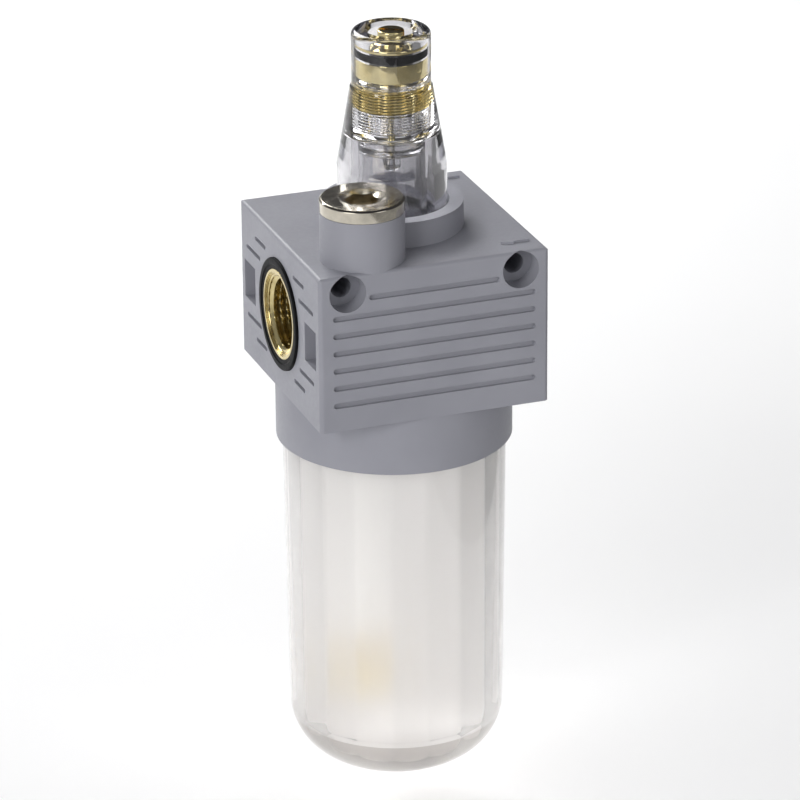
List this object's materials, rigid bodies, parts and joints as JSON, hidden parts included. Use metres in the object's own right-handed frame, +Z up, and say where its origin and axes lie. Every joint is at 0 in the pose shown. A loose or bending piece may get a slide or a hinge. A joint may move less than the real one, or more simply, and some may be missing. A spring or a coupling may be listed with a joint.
{
  "type": "air line lubricator",
  "caption": "Air line oil-mist lubricator with two threaded ports, sight dome with needle screw, fill plug and translucent screw-on bowl.",
  "frame": {"origin": "middle of the bowl's flat underside, on the axis of bowl and dome, at the lowest point of the part", "axes": "+Z up along the bowl's axis; +X along the port axis towards the inlet; -Y towards the grooved front with the screw head recesses; air flows towards -X"},
  "size_m": [0.0644, 0.0632, 0.206],
  "materials": {
    "body_plastic": "fine matt moulded, mid grey with a cool tint",
    "brass": "turned, bright",
    "nickel_plate": "turned and nickel plated, warm silver",
    "rubber": "smooth black",
    "dome_clear": "clear polished moulding",
    "bowl_frosted": "translucent, softly frosted moulding",
    "inner_plastic": "natural moulded",
    "tube_nylon": "milky tube",
    "steel": "bright",
    "sintered_bronze": "sintered, grainy"
  },
  "bodies": {
    "frame": {"body": "body_plastic", "inlet_insert": "brass", "outlet_insert": "brass", "inlet_seal": "rubber", "outlet_seal": "rubber", "venturi_tube": "inner_plastic", "bypass_seat": "brass", "bypass_spring": "steel", "capillary_tube": "brass", "air_jet": "brass", "sight_tube": "dome_clear", "sight_tube_seal": "rubber", "drip_nozzle": "dome_clear", "siphon_fitting": "brass", "siphon_tube": "tube_nylon", "filter_stem": "brass", "siphon_filter": "sintered_bronze"},
    "bypass_disc": {"bypass_disc": "inner_plastic"},
    "check_ball": {"check_ball": "steel"},
    "dome_seal": {"dome_seal": "rubber"},
    "dome": {"sight_dome": "dome_clear"},
    "oil_screw_seal": {"oil_screw_seal": "rubber"},
    "oil_screw": {"oil_screw": "brass"},
    "fill_plug_seal": {"fill_plug_seal": "rubber"},
    "fill_plug": {"fill_plug": "nickel_plate"},
    "bowl_seal": {"bowl_seal": "rubber"},
    "bowl": {"bowl": "bowl_frosted"}
  },
  "joints": [
    {"name": "bypass_slide", "type": "slide", "parent": "frame", "child": "bypass_disc", "axis": [-1, 0, 0], "range_m": [0, 0.004], "stiffness_N_per_m": 120, "springref_m": -0.002, "deforming": ["bypass_spring"]},
    {"name": "check_ball_lift", "type": "slide", "parent": "frame", "child": "check_ball", "axis": [0, 0, 1], "range_m": [0, 0.0015]},
    {"name": "dome_rise", "type": "slide", "parent": "frame", "child": "dome_seal", "axis": [0, 0, 1], "range_m": [0, 0.0077]},
    {"name": "dome_turn", "type": "hinge", "parent": "dome_seal", "child": "dome", "pos_m": [0, 0, 0.1515], "axis": [0, 0, 1], "range_deg": [0, 1800]},
    {"name": "oil_screw_rise", "type": "slide", "parent": "dome", "child": "oil_screw_seal", "axis": [0, 0, 1], "range_m": [-0.0017, 0.0009]},
    {"name": "oil_screw_turn", "type": "hinge", "parent": "oil_screw_seal", "child": "oil_screw", "pos_m": [0, 0, 0.1915], "axis": [0, 0, 1], "range_deg": [-720, 360]},
    {"name": "fill_plug_rise", "type": "slide", "parent": "frame", "child": "fill_plug_seal", "axis": [0, 0, 1], "range_m": [0, 0.01223]},
    {"name": "fill_plug_turn", "type": "hinge", "parent": "fill_plug_seal", "child": "fill_plug", "pos_m": [-0.0157, -0.0205, 0.1615], "axis": [0, 0, 1], "range_deg": [0, 3240]},
    {"name": "bowl_drop", "type": "slide", "parent": "frame", "child": "bowl_seal", "axis": [0, 0, -1], "range_m": [0, 0.0082]},
    {"name": "bowl_turn", "type": "hinge", "parent": "bowl_seal", "child": "bowl", "pos_m": [0, 0, 0.0965], "axis": [0, 0, 1], "range_deg": [-1440, 0]}
  ],
  "couplings": [
    {"joint": "dome_rise", "follows": "dome_turn", "m_per_rad": 0.00023873},
    {"joint": "oil_screw_rise", "follows": "oil_screw_turn", "m_per_rad": 0.00012732},
    {"joint": "fill_plug_rise", "follows": "fill_plug_turn", "m_per_rad": 0.00021279},
    {"joint": "bowl_drop", "follows": "bowl_turn", "m_per_rad": -0.00031831}
  ]
}
